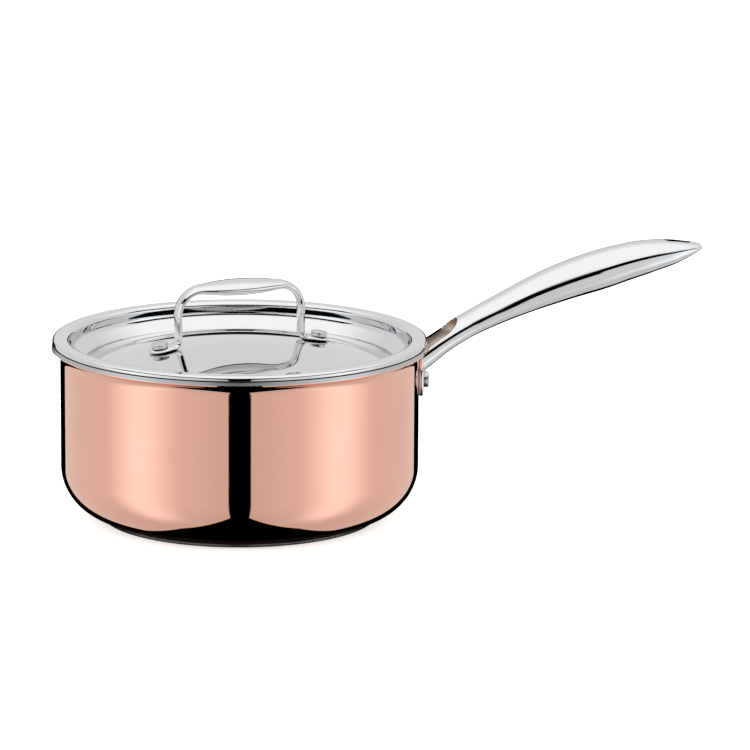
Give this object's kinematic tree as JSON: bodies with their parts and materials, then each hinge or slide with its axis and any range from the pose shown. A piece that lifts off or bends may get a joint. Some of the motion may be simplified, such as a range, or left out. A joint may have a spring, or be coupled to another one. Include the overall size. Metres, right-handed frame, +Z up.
{
  "type": "saucepan with lid",
  "caption": "Round copper-clad saucepan with a flared rim, a riveted hollow steel handle and a loose drop-in steel lid with a riveted bow handle.",
  "frame": {"origin": "centre of the round base where it stands", "axes": "+Z up along the pan's axis, +X along the long handle, away from the pan"},
  "size_m": [0.3816, 0.215, 0.1509],
  "materials": {
    "polished_copper": "mirror-polished copper",
    "aluminium_core": "plain, seen only at the rim's edge",
    "satin_steel": "satin-turned 18/10 stainless inside, polished on the flared rim",
    "magnetic_steel": "turned ferritic stainless",
    "polished_steel": "mirror-polished 18/10 stainless",
    "rivet_steel": "satin stainless rivet heads"
  },
  "bodies": {
    "pan": {"copper_outer_shell": "polished_copper", "aluminium_core": "aluminium_core", "steel_liner": "satin_steel", "induction_base_disc": "magnetic_steel", "pan_handle": "polished_steel", "handle_rivet_near": "rivet_steel", "handle_rivet_far": "rivet_steel"},
    "lid": {"lid_plate": "polished_steel", "lid_bow_handle": "polished_steel", "lid_rivet_left": "rivet_steel", "lid_rivet_right": "rivet_steel"}
  },
  "joints": [
    {"name": "lid_lift", "type": "slide", "parent": "pan", "child": "lid", "axis": [0, 0, 1], "range_m": [0, 0.12]}
  ]
}
